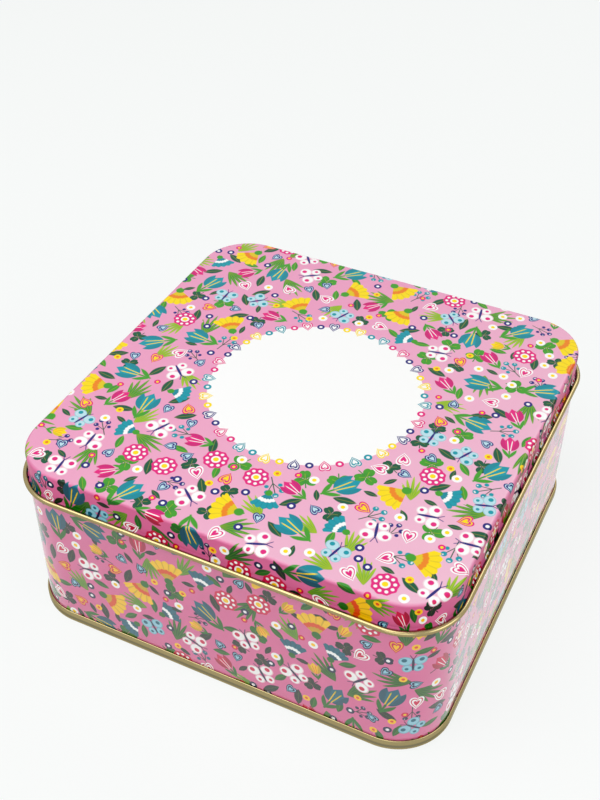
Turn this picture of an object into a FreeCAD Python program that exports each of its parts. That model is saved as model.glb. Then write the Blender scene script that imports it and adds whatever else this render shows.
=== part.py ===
import FreeCAD
import Part
import math
import os

# Square tin box with rounded corners. The wall is bent from one strip of tinplate and closed by
# a flat lock seam at the back, the bottom is double-seamed to it, and the lid lifts off.
# Millimetres. The table is z = 0, the front faces -Y and the origin is under the middle.

# Tinplate and fits
sheet = 0.3             # thickness of the tinplate
fold_gap = 0.08         # film of sealing compound between the layers of a seam
hook_end_gap = 0.25     # left free past the raw edge of a hook inside its fold
lid_clearance = 0.4     # between the lid's skirt and the neck of the wall
lid_seat_gap = 0.3      # between the lid's panel and the rolled rim under it
bead_gap = 0.4          # between the lid's bead and the shoulder under it

# Wall
body_width = 195.6      # outside the wall, along X
body_depth = 195.6      # outside the wall, along Y
corner_radius = 24.3    # outside the wall
body_height = 87.4      # table to the top of the rolled rim
neck_step = 1.2         # how far the neck is set in from the wall
shoulder_bend = 1.05    # inside radius of the two bends between wall and neck
rim_diameter = 2.4      # rim rolled inwards
rim_wrap = 300.0        # degrees that the rim is rolled through

# Bottom
seam_height = 5.0       # double seam, from the table up
foot_bend = 0.2         # inside radius of the two bends at the foot of the seam
panel_height = 5.1      # table to the underside of the bottom's panel
panel_bend = 0.85       # inside radius between the panel and its upright

# Lock seam
lock_width = 6.0        # across the folded hooks
lock_end_margin = 1.5   # plain lap left below the shoulder and above the double seam

# Lid
lid_depth = 15.3        # top of the panel to the underside of the bead
lid_edge_radius = 1.3   # outside, between panel and skirt
bead_diameter = 2.4     # bead rolled outwards at the foot of the skirt
bead_wrap = 300.0       # degrees that the bead is rolled through
skirt_flare = 0.6       # how far the skirt is spread just above its bead
flare_bend = 1.35       # inside radius of the two bends of the flare

# Folds: one layer is a sheet and the film beside it, and a fold closes round one layer
layer = sheet + fold_gap
fold_outside = layer + sheet / 2
shoulder_middle = shoulder_bend + sheet / 2
flare_middle = flare_bend + sheet / 2

# Axes of the four corners, and the middle of each upright sheet outward from such an axis
corner_x = body_width / 2 - corner_radius
corner_y = body_depth / 2 - corner_radius
wall_middle = corner_radius - sheet / 2
neck_middle = wall_middle - neck_step
skirt_middle = neck_middle + sheet + lid_clearance

# Heights of the lid, of the axis of its bead and of the fold at the foot of the wall
lid_top = body_height + lid_seat_gap + sheet
bead_height = lid_top - lid_depth + bead_diameter / 2
wall_foot = layer + fold_outside


def shoulder_start():
    """Height where the wall starts to bend in, so that its bend clears the lid's bead."""
    bead_out = skirt_middle + skirt_flare - sheet / 2 + bead_diameter / 2
    bend_out = wall_middle - shoulder_middle
    reach = bead_diameter / 2 + shoulder_middle + sheet / 2 + bead_gap
    return bead_height - math.sqrt(reach ** 2 - (bead_out - bend_out) ** 2)


def step_moves(step, radius, side):
    """Two equal bends that carry a sheet sideways by a step, first to the given side."""
    angle = math.degrees(math.acos(1 - step / (2 * radius)))
    return [("bend", radius, side * angle), ("bend", radius, -side * angle)]


def step_run(step, radius):
    """Length that the two bends of step_moves take up along the sheet."""
    return 2 * math.sqrt(radius ** 2 - (radius - step / 2) ** 2)


def sheet_section(start, heading, moves, across):
    """Face of a sheet that follows a middle line of straights and bends.

    start is the first point of the middle line and heading its direction in degrees. A move is
    ("straight", length) or ("bend", middle radius, degrees), with turns to the left positive.
    across places a point of the section in space.
    """
    half = sheet / 2
    sides = {half: [], -half: []}
    x, y = start
    angle = math.radians(heading)

    def beside(px, py, direction, offset):
        return across(px - offset * math.sin(direction), py + offset * math.cos(direction))

    caps = [[beside(x, y, angle, offset) for offset in sides]]
    for move in moves:
        if move[0] == "straight":
            end_x = x + move[1] * math.cos(angle)
            end_y = y + move[1] * math.sin(angle)
            for offset, edges in sides.items():
                first = beside(x, y, angle, offset)
                last = beside(end_x, end_y, angle, offset)
                edges.append(Part.LineSegment(first, last).toShape())
            x, y = end_x, end_y
        else:
            radius = math.copysign(move[1], move[2])
            centre_x = x - radius * math.sin(angle)
            centre_y = y + radius * math.cos(angle)
            turns = [angle + math.radians(move[2]) * share for share in (0, 0.5, 1)]
            for offset, edges in sides.items():
                points = [beside(centre_x, centre_y, turn, offset - radius) for turn in turns]
                edges.append(Part.Arc(*points).toShape())
            angle = turns[-1]
            x = centre_x + radius * math.sin(angle)
            y = centre_y - radius * math.cos(angle)
    caps.append([beside(x, y, angle, offset) for offset in sides])
    ends = [Part.LineSegment(*cap).toShape() for cap in caps]
    outline = sides[half] + [ends[1]] + sides[-half][::-1] + [ends[0]]
    return Part.Face(Part.Wire(outline))


def upright_section(start, heading, moves):
    """Section of a sheet drawn outward and up from a corner's axis."""
    return sheet_section(start, heading, moves, lambda out, up: FreeCAD.Vector(out, 0, up))


def swept_round(section):
    """Solids of a section carried along the four sides and round the four corners."""
    axis = FreeCAD.Vector(0, 0, 1)
    origin = FreeCAD.Vector(0, 0, 0)
    corners = [(corner_x, corner_y), (-corner_x, corner_y), (-corner_x, -corner_y), (corner_x, -corner_y)]
    solids = []
    for quarter, (x, y) in enumerate(corners):
        next_x, next_y = corners[(quarter + 1) % 4]
        turned = section.copy()
        turned.rotate(origin, axis, 90 * quarter)
        bend = turned.revolve(origin, axis, 90)
        bend.translate(FreeCAD.Vector(x, y, 0))
        turned.rotate(origin, axis, 90)
        turned.translate(FreeCAD.Vector(x, y, 0))
        solids += [bend, turned.extrude(FreeCAD.Vector(next_x - x, next_y - y, 0))]
    return solids


def rounded_panel(out, underside):
    """Flat sheet that reaches a distance outward from the corners' axes."""
    plate = Part.makeBox(
        2 * (corner_x + out), 2 * (corner_y + out), sheet,
        FreeCAD.Vector(-corner_x - out, -corner_y - out, underside),
    )
    uprights = [edge for edge in plate.Edges if abs(edge.tangentAt(edge.FirstParameter).z) > 0.9]
    return plate.makeFillet(out, uprights)


def joined(solids):
    """One solid from solids that meet face to face."""
    whole = solids[0].fuse(solids[1:]).removeSplitter()
    return whole.Solids[0] if len(whole.Solids) == 1 else whole


def lock_seam(low, high):
    """The window cut from the back of the wall and the two hooked edges that close it."""
    outside = body_depth / 2
    half_width = lock_width / 2
    fold_end = half_width - fold_outside
    free_end = half_width - sheet - hook_end_gap
    joggle = 3 * layer
    joggle_radius = 2 * layer
    right_end = half_width + fold_gap + step_run(joggle, joggle_radius)
    left_end = -half_width - fold_gap

    def plan(along, out):
        return FreeCAD.Vector(along, outside + out, low)

    outer_hook = [
        ("straight", fold_end - left_end),
        ("bend", layer, -180),
        ("straight", fold_end + free_end),
    ]
    inner_hook = step_moves(joggle, joggle_radius, 1) + [
        ("straight", half_width + fold_gap + fold_end),
        ("bend", layer, -180),
        ("straight", free_end + fold_end),
    ]
    hooks = [
        sheet_section((left_end, -sheet / 2), 0, outer_hook, plan),
        sheet_section((right_end, -sheet / 2), 180, inner_hook, plan),
    ]
    rise = FreeCAD.Vector(0, 0, high - low)
    window = Part.makeBox(right_end - left_end, sheet, high - low, plan(left_end, -sheet))
    return window, [hook.extrude(rise) for hook in hooks]


def make_body_wall():
    """Strip from the hook in the double seam up to the rolled rim, with its lock seam."""
    hook_end = seam_height - sheet - hook_end_gap
    shoulder = shoulder_start()
    neck_foot = shoulder + step_run(neck_step, shoulder_middle)
    rim_radius = (rim_diameter - sheet) / 2
    section = upright_section((wall_middle + 2 * layer, hook_end), 270, [
        ("straight", hook_end - wall_foot),
        ("bend", layer, -180),
        ("straight", shoulder - wall_foot),
        *step_moves(neck_step, shoulder_middle, 1),
        ("straight", body_height - rim_diameter / 2 - neck_foot),
        ("bend", rim_radius, rim_wrap),
    ])
    wall = joined(swept_round(section))
    window, hooks = lock_seam(seam_height + lock_end_margin, shoulder - lock_end_margin)
    return joined([wall.cut(window)] + hooks)


def make_bottom_plate():
    """Sheet from its hook in the double seam, under the wall, up its upright and across."""
    hook_end = wall_foot - layer + sheet / 2 + hook_end_gap
    fold_height = seam_height - fold_outside
    foot_middle = foot_bend + sheet / 2
    panel_middle = panel_bend + sheet / 2
    panel_edge = wall_middle - layer - panel_middle
    section = upright_section((wall_middle + layer, hook_end), 90, [
        ("straight", fold_height - hook_end),
        ("bend", layer, -180),
        ("straight", fold_height - foot_middle - sheet / 2),
        ("bend", foot_middle, -90),
        ("straight", 4 * layer - 2 * foot_middle),
        ("bend", foot_middle, -90),
        ("straight", panel_height - panel_middle - foot_middle),
        ("bend", panel_middle, 90),
    ])
    return joined(swept_round(section) + [rounded_panel(panel_edge, panel_height)])


def make_lid():
    """One drawn sheet: flat panel, rounded edge, flared skirt and a bead rolled outwards at its foot."""
    edge_middle = lid_edge_radius - sheet / 2
    panel_edge = skirt_middle - edge_middle
    flare_start = bead_height + step_run(skirt_flare, flare_middle)
    section = upright_section((panel_edge, lid_top - sheet / 2), 0, [
        ("bend", edge_middle, -90),
        ("straight", lid_top - lid_edge_radius - flare_start),
        *step_moves(skirt_flare, flare_middle, 1),
        ("bend", (bead_diameter - sheet) / 2, bead_wrap),
    ])
    return joined(swept_round(section) + [rounded_panel(panel_edge, lid_top - sheet)])


makers = {
    "body_wall": make_body_wall,
    "bottom_plate": make_bottom_plate,
    "lid": make_lid,
}

os.makedirs("parts", exist_ok=True)
for name, make in makers.items():
    shape = make()
    shape.exportStep(f"parts/{name}.step")
    box = shape.optimalBoundingBox(False)
    print(f"{name}: {shape.ShapeType}, {len(shape.Solids)} solid, valid {shape.isValid()},",
          f"{box.XLength:.2f} x {box.YLength:.2f} x {box.ZLength:.2f} mm, {shape.Volume:.0f} mm3")
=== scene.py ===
import logging
import math
from dataclasses import dataclass, field
from enum import Enum
from typing import Any, Callable, Optional, Union

import bmesh
import bpy
import numpy as np
from mathutils import Matrix, Vector


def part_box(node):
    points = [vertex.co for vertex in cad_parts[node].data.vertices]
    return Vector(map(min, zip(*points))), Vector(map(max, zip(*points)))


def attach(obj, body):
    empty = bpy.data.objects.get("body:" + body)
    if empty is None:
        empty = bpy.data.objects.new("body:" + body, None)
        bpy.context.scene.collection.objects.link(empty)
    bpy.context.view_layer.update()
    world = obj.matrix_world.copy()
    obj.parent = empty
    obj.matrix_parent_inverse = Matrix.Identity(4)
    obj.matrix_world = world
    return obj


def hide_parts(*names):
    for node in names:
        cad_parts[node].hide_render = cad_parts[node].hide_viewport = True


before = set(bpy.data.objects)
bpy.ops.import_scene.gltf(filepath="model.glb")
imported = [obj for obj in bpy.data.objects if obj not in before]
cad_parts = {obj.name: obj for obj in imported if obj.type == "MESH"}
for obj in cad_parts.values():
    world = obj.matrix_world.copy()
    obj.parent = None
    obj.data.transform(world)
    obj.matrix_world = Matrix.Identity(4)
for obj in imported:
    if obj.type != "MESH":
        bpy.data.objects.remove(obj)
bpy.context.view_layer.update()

MM = 0.001
WELD = 0.01 * MM

Colour = tuple[float, float, float, float]
Chooser = Callable[[np.ndarray], np.ndarray]

log = logging.getLogger("tin_box")


class Ink(Enum):
    """Printing inks, as sRGB bytes."""

    ROSE = (233, 155, 191)
    TEAL = (6, 150, 166)
    NAVY = (36, 34, 120)
    WHITE = (250, 250, 249)
    MAGENTA = (226, 30, 126)
    YELLOW = (250, 220, 4)
    SKY = (186, 222, 232)
    LIME = (150, 198, 34)
    GREEN = (64, 156, 40)
    FOREST = (10, 84, 56)
    ORANGE = (236, 132, 24)
    DUSK = (30, 20, 60)

    @property
    def linear(self) -> Colour:
        """The ink as a linear colour with full alpha."""
        return linear_colour(self.value)


class Green(Enum):
    """Figures of the green layer of the print."""

    LEAF = 0
    TUFT = 1
    TWIG = 2
    CLOVER = 3


class Motif(Enum):
    """Figures of the upper layer of the print."""

    TULIP = 0
    HEART = 1
    BUTTERFLY = 2
    FAN = 3
    ROUND = 4
    WHEEL = 5


def linear_colour(rgb: tuple[int, int, int]) -> Colour:
    """Turn sRGB bytes into a linear colour.

    Args:
        rgb: Red, green and blue from 0 to 255.

    Returns:
        The linear colour with full alpha.
    """
    parts = [channel / 255 for channel in rgb]
    bent = [part / 12.92 if part <= 0.04045 else ((part + 0.055) / 1.055) ** 2.4 for part in parts]
    return bent[0], bent[1], bent[2], 1.0


class Wire:
    """A shader socket that takes part in Python arithmetic."""

    def __init__(self, graph: "Graph", socket: bpy.types.NodeSocket) -> None:
        """Wrap a socket of a graph."""
        self.graph = graph
        self.socket = socket

    def __add__(self, other: "Number") -> "Wire":
        """Sum."""
        return self.graph.maths("ADD", self, other)

    def __sub__(self, other: "Number") -> "Wire":
        """Difference."""
        return self.graph.maths("SUBTRACT", self, other)

    def __rsub__(self, other: "Number") -> "Wire":
        """Difference from a number on the left."""
        return self.graph.maths("SUBTRACT", other, self)

    def __mul__(self, other: "Number") -> "Wire":
        """Product."""
        return self.graph.maths("MULTIPLY", self, other)

    def __truediv__(self, other: "Number") -> "Wire":
        """Quotient."""
        return self.graph.maths("DIVIDE", self, other)

    def __rtruediv__(self, other: "Number") -> "Wire":
        """Quotient of a number on the left."""
        return self.graph.maths("DIVIDE", other, self)

    def __pow__(self, other: "Number") -> "Wire":
        """Power."""
        return self.graph.maths("POWER", self, other)

    def __abs__(self) -> "Wire":
        """Size without sign."""
        return self.graph.maths("ABSOLUTE", self)

    __radd__ = __add__
    __rmul__ = __mul__

    def below(self, edge: "Number", soft: float) -> "Wire":
        """Mask that is one under an edge and fades out across it.

        Args:
            edge: Where the mask passes a half.
            soft: Half the width of the fade.

        Returns:
            The mask, from 0 to 1.
        """
        shifted = self - edge
        sockets = {"Value": shifted, "From Min": -soft, "From Max": soft, "To Min": 1.0, "To Max": 0.0}
        node = self.graph.node("ShaderNodeMapRange", {"interpolation_type": "SMOOTHSTEP"}, sockets)
        return Wire(self.graph, node.outputs["Result"])

    def is_kind(self, kind: Enum) -> "Wire":
        """Mask of the places where the value is the number of an option."""
        return self.graph.maths("COMPARE", self, float(kind.value), 0.5)


Number = Union[Wire, float]


class Graph:
    """A node tree that is built from Python."""

    def __init__(self, tree: bpy.types.NodeTree) -> None:
        """Take an empty tree."""
        self.tree = tree

    def node(
        self, kind: str, settings: dict[str, Any], sockets: dict[Union[str, int], Any],
    ) -> bpy.types.Node:
        """Add a node.

        Args:
            kind: Type of the node.
            settings: Properties that are set before the sockets.
            sockets: Value, wire or socket for each input that differs from its default.

        Returns:
            The node.
        """
        node = self.tree.nodes.new(kind)
        for name, value in settings.items():
            setattr(node, name, value)
        for name, value in sockets.items():
            if isinstance(value, Wire):
                value = value.socket
            if isinstance(value, bpy.types.NodeSocket):
                self.tree.links.new(value, node.inputs[name])
            else:
                node.inputs[name].default_value = value
        return node

    def maths(self, operation: str, *values: Number) -> Wire:
        """Add a Math node and return its result."""
        node = self.node("ShaderNodeMath", {"operation": operation}, dict(enumerate(values)))
        return Wire(self, node.outputs[0])

    def mix(self, share: Number, first: Any, second: Any) -> Wire:
        """Mix two colours.

        Args:
            share: How much of the second colour shows.
            first: Colour, wire or socket.
            second: Colour, wire or socket.

        Returns:
            The mixed colour.
        """
        settings = {"data_type": "RGBA", "clamp_factor": True}
        node = self.node("ShaderNodeMix", settings, {0: share, 6: first, 7: second})
        return Wire(self, node.outputs[2])

    def parts(self, vector: bpy.types.NodeSocket) -> tuple[Wire, Wire, Wire]:
        """Split a vector into its three numbers."""
        node = self.node("ShaderNodeSeparateXYZ", {}, {"Vector": vector})
        return tuple(Wire(self, node.outputs[axis]) for axis in "XYZ")

    def place(self) -> bpy.types.NodeSocket:
        """The object's own coordinates."""
        return self.node("ShaderNodeTexCoord", {}, {}).outputs["Object"]

    def attribute(self, name: str) -> tuple[Wire, Wire, Wire]:
        """Read an attribute of the piece as three numbers."""
        source = self.node("ShaderNodeAttribute", {"attribute_name": name}, {})
        return self.parts(source.outputs["Vector"])

    def colour(self, name: str) -> Wire:
        """Read an attribute of the piece as a colour."""
        source = self.node("ShaderNodeAttribute", {"attribute_name": name}, {})
        return Wire(self, source.outputs["Color"])

    def polar(self, x: Wire, y: Wire) -> tuple[Wire, Wire]:
        """Distance from the middle and turn from the x axis, in radians."""
        return (x * x + y * y) ** 0.5, self.maths("ARCTAN2", y, x)

    def folded(self, x: Wire, y: Wire, count: int) -> tuple[Wire, Wire]:
        """Fold the plane into equal sectors.

        Args:
            x: First coordinate.
            y: Second coordinate.
            count: Number of sectors.

        Returns:
            Length along the middle of the sector and distance from it.
        """
        radius, turn = self.polar(x, y)
        sector = 2 * math.pi / count
        bent = turn - sector * self.maths("FLOOR", turn / sector + 0.5)
        return radius * self.maths("COSINE", bent), abs(radius * self.maths("SINE", bent))

    def ball(self, x: Wire, y: Wire, radius: float) -> Wire:
        """Mask of a round about the origin of two coordinates."""
        return self.polar(x, y)[0].below(radius, 0.03)

    def union(self, masks: list[Wire]) -> Wire:
        """Mask of all places that at least one mask covers."""
        whole = masks[0]
        for mask in masks[1:]:
            whole = self.maths("MAXIMUM", whole, mask)
        return whole

    def bump(self, height: Wire, strength: float, distance: float = 0.2 * MM) -> bpy.types.NodeSocket:
        """Normals that a height bends."""
        sockets = {"Strength": strength, "Distance": distance, "Height": height}
        return self.node("ShaderNodeBump", {}, sockets).outputs[0]

    def noise(self, scale: float, detail: float, stretch: tuple[float, float, float] = (1, 1, 1)) -> Wire:
        """Noise over the object's own coordinates.

        Args:
            scale: Waves per metre.
            detail: Octaves.
            stretch: Factor on each coordinate.

        Returns:
            The noise, about 0.5 on average.
        """
        mapped = self.node("ShaderNodeMapping", {}, {"Vector": self.place(), "Scale": stretch}).outputs[0]
        node = self.node("ShaderNodeTexNoise", {}, {"Vector": mapped, "Scale": scale, "Detail": detail})
        return Wire(self, node.outputs["Fac"])


def new_shader(name: str) -> tuple[bpy.types.Material, Graph]:
    """Make a material with an empty tree."""
    material = bpy.data.materials.new(name)
    material.use_nodes = True
    material.node_tree.nodes.clear()
    return material, Graph(material.node_tree)


def close_shader(graph: Graph, shader: bpy.types.Node) -> None:
    """Lead a shader to the surface of its material."""
    graph.node("ShaderNodeOutputMaterial", {}, {"Surface": shader.outputs[0]})


@dataclass(frozen=True)
class PrintedVarnish:
    """Tinplate printed with strewn figures under a clear gloss varnish.

    Attributes:
        name: Name of the material.
        round_radius: Bare round in the middle of the lid, in metres.
        painted_light_middle: How far a painted light gradient pales the ground ink in the middle of the lid.
        painted_light_slope: How much more that painted light pales it for each metre along X and Y, towards
            the front right.
        cloud: How much it thins in clouds.
        ink_roughness: Roughness of the print under the varnish.
        coat_roughness: Roughness of the varnish.
        coat_ior: Refraction of the varnish.
    """

    name: str
    round_radius: float = 0.048
    painted_light_middle: float = 0.06
    painted_light_slope: tuple[float, float] = (1.35, -0.6)
    cloud: float = 0.06
    ink_roughness: float = 0.4
    coat_roughness: float = 0.05
    coat_ior: float = 1.65

    def ground_layer(self, graph: Graph) -> Wire:
        """Ground ink with the bare round in the middle of the lid.

        Args:
            graph: Tree of the material.

        Returns:
            The colour.
        """
        x, y, _ = graph.parts(graph.place())
        away, _ = graph.polar(x, y)
        _, _, drawn = graph.attribute("sheet_shade_and_coat")
        slope_x, slope_y = self.painted_light_slope
        # Painted light: the ground of the lid's panel pales towards the front right as if lit more there; the
        # skirt has none of it.
        thin = graph.maths("MAXIMUM", self.painted_light_middle + slope_x * x + slope_y * y, 0.0) * (1.0 - drawn)
        pale = thin + graph.noise(38.0, 3.0) * self.cloud
        ground = graph.mix(pale, Ink.ROSE.linear, Ink.WHITE.linear)
        return graph.mix(away.below(self.round_radius, 0.2 * MM), ground, Ink.WHITE.linear)

    def green_layer(self, graph: Graph, colour: Wire) -> Wire:
        """Lay the leaves, tufts, twigs and clovers over a colour.

        Args:
            graph: Tree of the material.
            colour: Colour underneath.

        Returns:
            The colour with the layer on it.
        """
        x, y, kind = graph.attribute("green_place")
        ink = graph.colour("green_ink")
        side = abs(y)
        deep = graph.mix(0.4, ink, Ink.FOREST.linear)
        light = graph.mix(0.3, ink, Ink.YELLOW.linear)

        leaf = (side - 0.38 * (1.0 - x * x)).below(0.0, 0.05) * abs(x).below(1.0, 0.03)
        rib = side.below(0.035, 0.025) * x.below(0.7, 0.1)
        leaf_ink = graph.mix(rib * 0.6, graph.mix(y.below(0.0, 0.03) * 0.6, ink, deep), light)
        colour = graph.mix(leaf * kind.is_kind(Green.LEAF), colour, leaf_ink)

        reach, turn = graph.polar(x + 0.92, y)
        number = graph.maths("MINIMUM", graph.maths("FLOOR", abs(turn) / 0.23 + 0.5), 2.0)
        share = reach / (1.84 - 0.24 * number)
        across = abs(abs(turn) - number * 0.23) * reach
        width = graph.maths("MAXIMUM", share * (1.0 - share), 0.0) ** 0.7 * 0.24
        blade = (across - width).below(0.0, 0.025) * share.below(1.0, 0.02)
        blade_ink = graph.mix(across.below(0.025, 0.02) * 0.5, graph.mix(share, deep, ink), light)
        colour = graph.mix(blade * kind.is_kind(Green.TUFT), colour, blade_ink)

        fork = abs(side - (x + 0.35) * 0.62).below(0.035, 0.02) * abs(x + 0.02).below(0.33, 0.03)
        stalk = graph.maths("MAXIMUM", side.below(0.035, 0.02) * abs(x + 0.15).below(0.8, 0.04), fork)
        balls = [graph.ball(x - 0.76, side, 0.21), graph.ball(x - 0.4, side - 0.47, 0.2)]
        balls.append(graph.ball(x + 0.12, side - 0.44, 0.15))
        shines = [graph.ball(x - 0.82, side - 0.04, 0.06), graph.ball(x - 0.46, side - 0.52, 0.055)]
        chosen = kind.is_kind(Green.TWIG)
        colour = graph.mix(stalk * chosen, colour, Ink.FOREST.linear)
        colour = graph.mix(graph.union(balls) * chosen, colour, ink)
        colour = graph.mix(graph.union(shines) * chosen * 0.8, colour, Ink.WHITE.linear)

        along, across = graph.folded(x, y, 3)
        lobes = (((along - 0.56) / 0.42) ** 2.0 + ((across - 0.17) / 0.3) ** 2.0).below(1.0, 0.08)
        lobes = graph.union([lobes, across.below(0.14, 0.02) * abs(along - 0.4).below(0.36, 0.03)])
        vein = across.below(0.03, 0.02) * along.below(0.62, 0.06)
        stalk = side.below(0.05, 0.02) * abs(x + 0.5).below(0.5, 0.03)
        chosen = kind.is_kind(Green.CLOVER)
        colour = graph.mix(stalk * chosen, colour, deep)
        clover_ink = graph.mix(vein * 0.7, graph.mix(along.below(0.4, 0.2) * 0.5, ink, deep), light)
        return graph.mix(lobes * chosen, colour, clover_ink)

    def motif_layer(self, graph: Graph, colour: Wire) -> Wire:
        """Lay the tulips, hearts, butterflies, fans, rounds and wheels over a colour.

        Args:
            graph: Tree of the material.
            colour: Colour underneath.

        Returns:
            The colour with the layer on it.
        """
        x, y, kind = graph.attribute("motif_place")
        ink = graph.colour("motif_ink")
        second = graph.colour("second_ink")
        side = abs(y)
        radius, _ = graph.polar(x, y)
        shade = graph.mix(0.22, ink, Ink.DUSK.linear)

        crown = 0.8 - 0.34 * (graph.maths("PINGPONG", side, 0.26) / 0.26)
        bell = (((x - 0.25) / 0.62) ** 2.0 + (side / 0.52) ** 2.0).below(1.0, 0.06)
        bell = bell * (x - crown).below(0.0, 0.03)
        stalk = side.below(0.045, 0.025) * abs(x + 0.65).below(0.34, 0.03)
        blade = (abs(side - (x + 0.95) * 0.55) - 0.12 * (1.0 - ((x + 0.6) / 0.36) ** 2.0)).below(0.0, 0.03)
        chosen = kind.is_kind(Motif.TULIP)
        colour = graph.mix(graph.union([stalk, blade]) * chosen, colour, Ink.GREEN.linear)
        outer = graph.mix((side - 0.2 - 0.25 * x).below(0.0, 0.02), shade, ink)
        tulip = graph.mix(abs(side - 0.09 - 0.1 * x).below(0.025, 0.02) * x.below(0.45, 0.1), outer, second)
        colour = graph.mix(bell * chosen, colour, tulip)

        level = (side * 1.1) ** 2.0 + (x * 1.05 + 0.12 - 0.72 * side ** 0.5) ** 2.0
        line = level.below(0.4, 0.03) * (1.0 - level.below(0.27, 0.03))
        heart = graph.mix(level.below(0.1, 0.03), graph.mix(line, ink, second), second)
        colour = graph.mix(level.below(0.62, 0.04) * kind.is_kind(Motif.HEART), colour, heart)

        upper = ((x - 0.34) / 0.42) ** 2.0 + ((side - 0.48) / 0.46) ** 2.0
        lower = ((x + 0.38) / 0.35) ** 2.0 + ((side - 0.36) / 0.34) ** 2.0
        edge = graph.union([upper.below(0.72, 0.06), lower.below(0.68, 0.06)])
        spots = graph.union([graph.ball(x - 0.42, side - 0.56, 0.17), graph.ball(x + 0.42, side - 0.4, 0.12)])
        body = ((x / 0.62) ** 2.0 + (side / 0.085) ** 2.0).below(1.0, 0.15)
        feeler = abs(side - (x - 0.5) * 0.5).below(0.03, 0.02) * abs(x - 0.72).below(0.2, 0.03)
        chosen = kind.is_kind(Motif.BUTTERFLY)
        wings = graph.union([upper.below(1.0, 0.06), lower.below(1.0, 0.06)])
        wing_ink = graph.mix(spots, graph.mix(edge, graph.mix(0.3, ink, second), ink), second)
        colour = graph.mix(wings * chosen, colour, wing_ink)
        colour = graph.mix(graph.union([body, feeler]) * chosen, colour, Ink.NAVY.linear)

        reach, turn = graph.polar(x + 0.75, y)
        lobe = abs(graph.maths("PINGPONG", turn + 0.15, 0.15)) / 0.15
        rim = 1.46 + 0.16 * lobe ** 0.6
        inside = abs(turn).below(0.72, 0.02)
        fan = (reach - rim).below(0.0, 0.03) * inside
        chosen = kind.is_kind(Motif.FAN)
        stalk = side.below(0.05, 0.02) * abs(x + 0.85).below(0.14, 0.02)
        calyx = graph.union([graph.ball(x + 0.68, y, 0.26), stalk])
        tone = graph.mix(lobe.below(0.2, 0.15) * (1.0 - reach.below(0.9, 0.1)) * 0.8, ink, shade)
        tone = graph.mix((reach - 0.06 * lobe).below(0.92, 0.04), tone, second)
        tone = graph.mix((reach - 0.06 * lobe).below(0.62, 0.04), tone, shade)
        colour = graph.mix(fan * chosen, colour, tone)
        colour = graph.mix(calyx * chosen, colour, Ink.GREEN.linear)

        eye = graph.mix(radius.below(0.4, 0.06), ink, second)
        colour = graph.mix(radius.below(0.94, 0.05) * kind.is_kind(Motif.ROUND), colour, eye)
        along, across = graph.folded(x, y, 9)
        dots = graph.ball(along - 0.67, across, 0.13)
        wheel = graph.mix(graph.union([dots, radius.below(0.36, 0.03)]), ink, second)
        wheel = graph.mix(radius.below(0.22, 0.03), wheel, Ink.YELLOW.linear)
        wheel = graph.mix(abs(radius - 0.45).below(0.03, 0.02) * 0.7, wheel, shade)
        scalloped = (radius + across * 0.3).below(1.0, 0.03)
        return graph.mix(scalloped * kind.is_kind(Motif.WHEEL), colour, wheel)

    def material(self) -> bpy.types.Material:
        """Build the material.

        Returns:
            The material.
        """
        material, graph = new_shader(self.name)
        colour = self.motif_layer(graph, self.green_layer(graph, self.ground_layer(graph)))
        # Painted shade: a gamma above one darkens and deepens the inks on the skirt and the wall, the sides
        # that face away from the light.
        shade_power, coat, _ = graph.attribute("sheet_shade_and_coat")
        deep = graph.node("ShaderNodeGamma", {}, {"Color": colour, "Gamma": shade_power})
        peel = graph.noise(420.0, 2.0)
        sockets = {
            "Base Color": deep.outputs[0],
            "Roughness": self.ink_roughness + 0.1 * (peel - 0.5),
            "Specular IOR Level": 0.06,
            "Normal": graph.bump(peel, 0.05),
            "Coat Weight": coat,
            "Coat Roughness": self.coat_roughness,
            "Coat IOR": self.coat_ior,
        }
        close_shader(graph, graph.node("ShaderNodeBsdfPrincipled", {}, sockets))
        return material


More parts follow.
